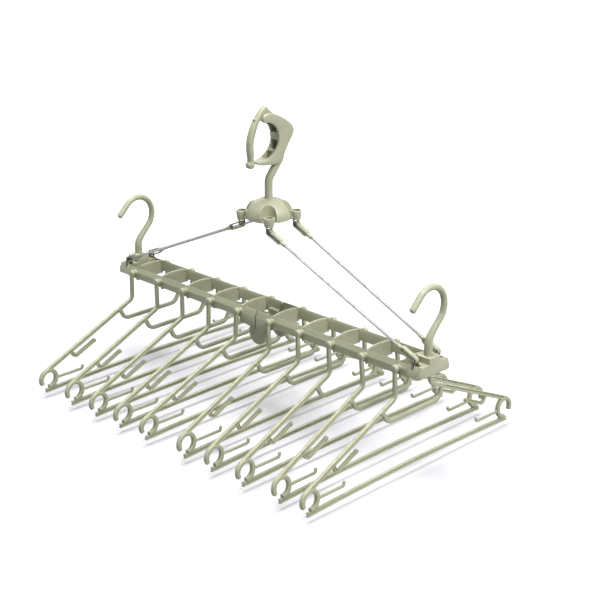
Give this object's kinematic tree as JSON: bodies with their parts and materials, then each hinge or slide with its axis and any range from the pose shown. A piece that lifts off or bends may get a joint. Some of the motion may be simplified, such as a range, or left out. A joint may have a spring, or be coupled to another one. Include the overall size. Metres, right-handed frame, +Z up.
{
  "type": "clip drying hanger",
  "caption": "Hanging clothes dryer: swinging hanger bars under a two-part beam, wire stays to a domed hub, turning end hooks and a sprung pole clamp.",
  "frame": {"origin": "centre of a 24 mm pole seated in the clamp, straight above the middle of the beam", "axes": "+X along the beam, towards the end with the right side hook; +Y to the back, away from the clamp's mouth; +Z up"},
  "size_m": [0.585, 0.408, 0.4286],
  "materials": {
    "sage_plastic": "satin sage green",
    "sage_plastic_deep": "satin, a little darker",
    "steel_wire": "drawn wire",
    "steel_fittings": "dark wire"
  },
  "bodies": {
    "clamp": {"clamp_jaw": "sage_plastic", "clamp_hinge_pin": "steel_fittings", "clamp_spring": "steel_fittings", "stem_retainer": "sage_plastic_deep"},
    "clamp_arm": {"clamp_arm": "sage_plastic"},
    "hub": {"hub_dome": "sage_plastic", "hub_staple_front_left": "steel_fittings", "hub_staple_back_left": "steel_fittings", "hub_staple_front_right": "steel_fittings", "hub_staple_back_right": "steel_fittings"},
    "beam_middle": {"beam_hinge_pin": "steel_fittings"},
    "beam_left": {"beam_left": "sage_plastic", "beam_staple_front_left": "steel_fittings", "beam_staple_back_left": "steel_fittings", "side_hook_cap_left": "sage_plastic_deep"},
    "side_hook_left": {"side_hook_left": "sage_plastic"},
    "beam_right": {"beam_right": "sage_plastic", "beam_staple_front_right": "steel_fittings", "beam_staple_back_right": "steel_fittings", "side_hook_cap_right": "sage_plastic_deep"},
    "side_hook_right": {"side_hook_right": "sage_plastic"},
    "stay_front_left": {"stay_wire_front_left": "steel_wire", "stay_hub_link_front_left": "sage_plastic", "stay_beam_link_front_left": "sage_plastic"},
    "stay_back_left": {"stay_wire_back_left": "steel_wire", "stay_hub_link_back_left": "sage_plastic", "stay_beam_link_back_left": "sage_plastic"},
    "stay_front_right": {"stay_wire_front_right": "steel_wire", "stay_hub_link_front_right": "sage_plastic", "stay_beam_link_front_right": "sage_plastic"},
    "stay_back_right": {"stay_wire_back_right": "steel_wire", "stay_hub_link_back_right": "sage_plastic", "stay_beam_link_back_right": "sage_plastic"},
    "hanger_01": {"hanger_01": "sage_plastic"},
    "hanger_02": {"hanger_02": "sage_plastic"},
    "hanger_03": {"hanger_03": "sage_plastic"},
    "hanger_04": {"hanger_04": "sage_plastic"},
    "hanger_05": {"hanger_05": "sage_plastic"},
    "hanger_06": {"hanger_06": "sage_plastic"},
    "hanger_07": {"hanger_07": "sage_plastic"},
    "hanger_08": {"hanger_08": "sage_plastic"},
    "hanger_09": {"hanger_09": "sage_plastic"},
    "hanger_10": {"hanger_10": "sage_plastic"}
  },
  "joints": [
    {"name": "hook_swivel", "type": "hinge", "parent": "clamp", "child": "hub", "pos_m": [0, 0, -0.09], "axis": [0, 0, 1], "continuous": true},
    {"name": "clamp_open", "type": "hinge", "parent": "clamp", "child": "clamp_arm", "pos_m": [0, -0.002, 0.025], "axis": [-1, 0, 0], "range_deg": [0, 35], "stiffness_Nm_per_rad": 0.2, "springref_deg": -22.92},
    {"name": "beam_lift", "type": "slide", "parent": "hub", "child": "beam_middle", "axis": [0, 0, 1], "range_m": [0, 0.06]},
    {"name": "fold_left", "type": "hinge", "parent": "beam_middle", "child": "beam_left", "pos_m": [0, 0, -0.27], "axis": [0, -1, 0], "range_deg": [0, 9.8]},
    {"name": "side_hook_left_turn", "type": "hinge", "parent": "beam_left", "child": "side_hook_left", "pos_m": [-0.281, 0, -0.227], "axis": [0, 0, 1], "range_deg": [-90, 90]},
    {"name": "fold_right", "type": "hinge", "parent": "beam_middle", "child": "beam_right", "pos_m": [0, 0, -0.27], "axis": [0, 1, 0], "range_deg": [0, 9.8]},
    {"name": "side_hook_right_turn", "type": "hinge", "parent": "beam_right", "child": "side_hook_right", "pos_m": [0.281, 0, -0.227], "axis": [0, 0, 1], "range_deg": [-90, 90]},
    {"name": "stay_front_left_swing", "type": "hinge", "parent": "hub", "child": "stay_front_left", "pos_m": [-0.0262, -0.025, -0.119], "axis": [0, 1, 0], "range_deg": [0, 2.6]},
    {"name": "stay_back_left_swing", "type": "hinge", "parent": "hub", "child": "stay_back_left", "pos_m": [-0.0262, 0.025, -0.119], "axis": [0, 1, 0], "range_deg": [0, 2.6]},
    {"name": "stay_front_right_swing", "type": "hinge", "parent": "hub", "child": "stay_front_right", "pos_m": [0.0262, -0.025, -0.119], "axis": [0, -1, 0], "range_deg": [0, 2.6]},
    {"name": "stay_back_right_swing", "type": "hinge", "parent": "hub", "child": "stay_back_right", "pos_m": [0.0262, 0.025, -0.119], "axis": [0, -1, 0], "range_deg": [0, 2.6]},
    {"name": "hanger_01_swing", "type": "hinge", "parent": "beam_left", "child": "hanger_01", "pos_m": [-0.25665, 0, -0.2428], "axis": [0, 1, 0], "range_deg": [-15, 15]},
    {"name": "hanger_02_swing", "type": "hinge", "parent": "beam_left", "child": "hanger_02", "pos_m": [-0.20025, 0, -0.2428], "axis": [0, 1, 0], "range_deg": [-15, 15]},
    {"name": "hanger_03_swing", "type": "hinge", "parent": "beam_left", "child": "hanger_03", "pos_m": [-0.14385, 0, -0.2428], "axis": [0, 1, 0], "range_deg": [-15, 15]},
    {"name": "hanger_04_swing", "type": "hinge", "parent": "beam_left", "child": "hanger_04", "pos_m": [-0.08745, 0, -0.2428], "axis": [0, 1, 0], "range_deg": [-15, 15]},
    {"name": "hanger_05_swing", "type": "hinge", "parent": "beam_left", "child": "hanger_05", "pos_m": [-0.03105, 0, -0.2428], "axis": [0, 1, 0], "range_deg": [-15, 15]},
    {"name": "hanger_06_swing", "type": "hinge", "parent": "beam_right", "child": "hanger_06", "pos_m": [0.03105, 0, -0.2428], "axis": [0, 1, 0], "range_deg": [-15, 15]},
    {"name": "hanger_07_swing", "type": "hinge", "parent": "beam_right", "child": "hanger_07", "pos_m": [0.08745, 0, -0.2428], "axis": [0, 1, 0], "range_deg": [-15, 15]},
    {"name": "hanger_08_swing", "type": "hinge", "parent": "beam_right", "child": "hanger_08", "pos_m": [0.14385, 0, -0.2428], "axis": [0, 1, 0], "range_deg": [-15, 15]},
    {"name": "hanger_09_swing", "type": "hinge", "parent": "beam_right", "child": "hanger_09", "pos_m": [0.20025, 0, -0.2428], "axis": [0, 1, 0], "range_deg": [-15, 15]},
    {"name": "hanger_10_swing", "type": "hinge", "parent": "beam_right", "child": "hanger_10", "pos_m": [0.25665, 0, -0.2428], "axis": [0, 1, 0], "range_deg": [-15, 15]}
  ],
  "couplings": [
    {"joint": "fold_left", "follows": "beam_lift", "rad_per_m": 2.85},
    {"joint": "fold_right", "follows": "beam_lift", "rad_per_m": 2.85},
    {"joint": "stay_front_left_swing", "follows": "beam_lift", "rad_per_m": 0.7491},
    {"joint": "stay_back_left_swing", "follows": "beam_lift", "rad_per_m": 0.7491},
    {"joint": "stay_front_right_swing", "follows": "beam_lift", "rad_per_m": 0.7491},
    {"joint": "stay_back_right_swing", "follows": "beam_lift", "rad_per_m": 0.7491}
  ]
}
